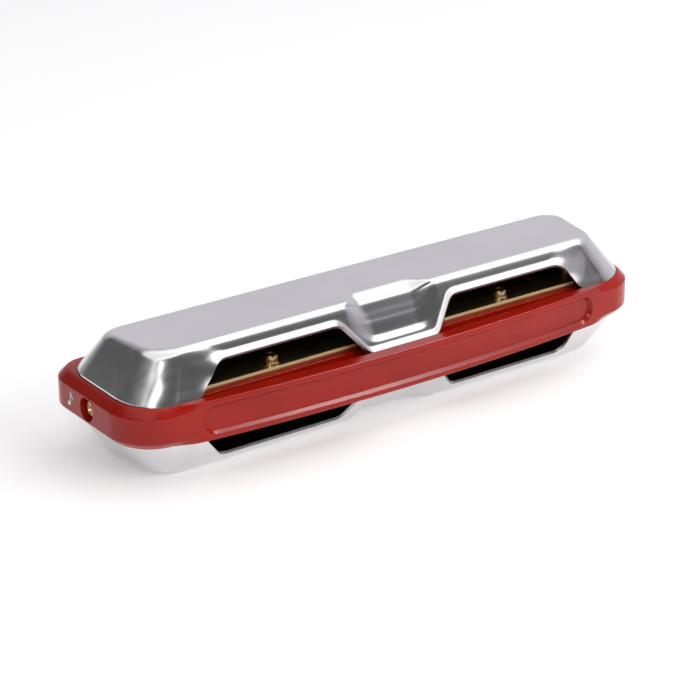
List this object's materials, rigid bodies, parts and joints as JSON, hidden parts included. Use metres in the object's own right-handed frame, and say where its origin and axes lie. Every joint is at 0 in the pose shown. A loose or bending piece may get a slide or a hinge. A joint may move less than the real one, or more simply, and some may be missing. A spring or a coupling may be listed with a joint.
{
  "type": "harmonica",
  "caption": "Diatonic harmonica: two pressed covers over brass reed plates on a one-piece comb with mouth holes along the front and sound openings at the back.",
  "frame": {"origin": "centre of the comb: half way along the length and the depth, and half way between the two covers", "axes": "+X along the length towards hole 1, +Y towards the player's mouth, +Z out of the blow side's cover"},
  "size_m": [0.1058, 0.0306, 0.0218],
  "materials": {
    "comb": "satin moulded ABS, red",
    "cover": "satin stainless steel sheet with polished edges",
    "reed_plate": "rolled brass sheet with bright cut edges",
    "reed": "thin rolled brass, filed lengthways",
    "rivet": "plain brass, peened",
    "screw": "turned brass"
  },
  "bodies": {
    "root": {"comb": "comb", "top_cover": "cover", "bottom_cover": "cover", "blow_reed_plate": "reed_plate", "draw_reed_plate": "reed_plate", "blow_reed_heels": "reed", "draw_reed_heels": "reed", "blow_reed_rivets": "rivet", "draw_reed_rivets": "rivet", "reed_plate_screws": "screw", "hole_1_end_screw": "screw", "hole_10_end_screw": "screw"},
    "blow_reed_1": {"blow_reed_1": "reed"},
    "blow_reed_2": {"blow_reed_2": "reed"},
    "blow_reed_3": {"blow_reed_3": "reed"},
    "blow_reed_4": {"blow_reed_4": "reed"},
    "blow_reed_5": {"blow_reed_5": "reed"},
    "blow_reed_6": {"blow_reed_6": "reed"},
    "blow_reed_7": {"blow_reed_7": "reed"},
    "blow_reed_8": {"blow_reed_8": "reed"},
    "blow_reed_9": {"blow_reed_9": "reed"},
    "blow_reed_10": {"blow_reed_10": "reed"},
    "draw_reed_1": {"draw_reed_1": "reed"},
    "draw_reed_2": {"draw_reed_2": "reed"},
    "draw_reed_3": {"draw_reed_3": "reed"},
    "draw_reed_4": {"draw_reed_4": "reed"},
    "draw_reed_5": {"draw_reed_5": "reed"},
    "draw_reed_6": {"draw_reed_6": "reed"},
    "draw_reed_7": {"draw_reed_7": "reed"},
    "draw_reed_8": {"draw_reed_8": "reed"},
    "draw_reed_9": {"draw_reed_9": "reed"},
    "draw_reed_10": {"draw_reed_10": "reed"}
  },
  "joints": [
    {"name": "blow_1_flex", "type": "hinge", "parent": "root", "child": "blow_reed_1", "pos_m": [0.03375, 0.00638, 0.0029], "axis": [1, 0, 0], "range_deg": [-4, 4], "stiffness_Nm_per_rad": 0.0223},
    {"name": "blow_2_flex", "type": "hinge", "parent": "root", "child": "blow_reed_2", "pos_m": [0.02625, 0.00648, 0.0029], "axis": [1, 0, 0], "range_deg": [-4, 4], "stiffness_Nm_per_rad": 0.02333},
    {"name": "blow_3_flex", "type": "hinge", "parent": "root", "child": "blow_reed_3", "pos_m": [0.01875, 0.00658, 0.0029], "axis": [1, 0, 0], "range_deg": [-4, 4], "stiffness_Nm_per_rad": 0.02446},
    {"name": "blow_4_flex", "type": "hinge", "parent": "root", "child": "blow_reed_4", "pos_m": [0.01125, 0.00668, 0.0029], "axis": [1, 0, 0], "range_deg": [-4, 4], "stiffness_Nm_per_rad": 0.02571},
    {"name": "blow_5_flex", "type": "hinge", "parent": "root", "child": "blow_reed_5", "pos_m": [0.00375, 0.00677, 0.0029], "axis": [1, 0, 0], "range_deg": [-4, 4], "stiffness_Nm_per_rad": 0.0271},
    {"name": "blow_6_flex", "type": "hinge", "parent": "root", "child": "blow_reed_6", "pos_m": [-0.00375, 0.00687, 0.0029], "axis": [1, 0, 0], "range_deg": [-4, 4], "stiffness_Nm_per_rad": 0.02864},
    {"name": "blow_7_flex", "type": "hinge", "parent": "root", "child": "blow_reed_7", "pos_m": [-0.01125, 0.00697, 0.0029], "axis": [1, 0, 0], "range_deg": [-4, 4], "stiffness_Nm_per_rad": 0.03037},
    {"name": "blow_8_flex", "type": "hinge", "parent": "root", "child": "blow_reed_8", "pos_m": [-0.01875, 0.00707, 0.0029], "axis": [1, 0, 0], "range_deg": [-4, 4], "stiffness_Nm_per_rad": 0.03232},
    {"name": "blow_9_flex", "type": "hinge", "parent": "root", "child": "blow_reed_9", "pos_m": [-0.02625, 0.00717, 0.0029], "axis": [1, 0, 0], "range_deg": [-4, 4], "stiffness_Nm_per_rad": 0.03453},
    {"name": "blow_10_flex", "type": "hinge", "parent": "root", "child": "blow_reed_10", "pos_m": [-0.03375, 0.00726, 0.0029], "axis": [1, 0, 0], "range_deg": [-4, 4], "stiffness_Nm_per_rad": 0.03708},
    {"name": "draw_1_flex", "type": "hinge", "parent": "root", "child": "draw_reed_1", "pos_m": [0.03375, 0.00638, -0.0041], "axis": [1, 0, 0], "range_deg": [-4, 4], "stiffness_Nm_per_rad": 0.0223},
    {"name": "draw_2_flex", "type": "hinge", "parent": "root", "child": "draw_reed_2", "pos_m": [0.02625, 0.00648, -0.0041], "axis": [1, 0, 0], "range_deg": [-4, 4], "stiffness_Nm_per_rad": 0.02333},
    {"name": "draw_3_flex", "type": "hinge", "parent": "root", "child": "draw_reed_3", "pos_m": [0.01875, 0.00658, -0.0041], "axis": [1, 0, 0], "range_deg": [-4, 4], "stiffness_Nm_per_rad": 0.02446},
    {"name": "draw_4_flex", "type": "hinge", "parent": "root", "child": "draw_reed_4", "pos_m": [0.01125, 0.00668, -0.0041], "axis": [1, 0, 0], "range_deg": [-4, 4], "stiffness_Nm_per_rad": 0.02571},
    {"name": "draw_5_flex", "type": "hinge", "parent": "root", "child": "draw_reed_5", "pos_m": [0.00375, 0.00677, -0.0041], "axis": [1, 0, 0], "range_deg": [-4, 4], "stiffness_Nm_per_rad": 0.0271},
    {"name": "draw_6_flex", "type": "hinge", "parent": "root", "child": "draw_reed_6", "pos_m": [-0.00375, 0.00687, -0.0041], "axis": [1, 0, 0], "range_deg": [-4, 4], "stiffness_Nm_per_rad": 0.02864},
    {"name": "draw_7_flex", "type": "hinge", "parent": "root", "child": "draw_reed_7", "pos_m": [-0.01125, 0.00697, -0.0041], "axis": [1, 0, 0], "range_deg": [-4, 4], "stiffness_Nm_per_rad": 0.03037},
    {"name": "draw_8_flex", "type": "hinge", "parent": "root", "child": "draw_reed_8", "pos_m": [-0.01875, 0.00707, -0.0041], "axis": [1, 0, 0], "range_deg": [-4, 4], "stiffness_Nm_per_rad": 0.03232},
    {"name": "draw_9_flex", "type": "hinge", "parent": "root", "child": "draw_reed_9", "pos_m": [-0.02625, 0.00717, -0.0041], "axis": [1, 0, 0], "range_deg": [-4, 4], "stiffness_Nm_per_rad": 0.03453},
    {"name": "draw_10_flex", "type": "hinge", "parent": "root", "child": "draw_reed_10", "pos_m": [-0.03375, 0.00726, -0.0041], "axis": [1, 0, 0], "range_deg": [-4, 4], "stiffness_Nm_per_rad": 0.03708}
  ]
}
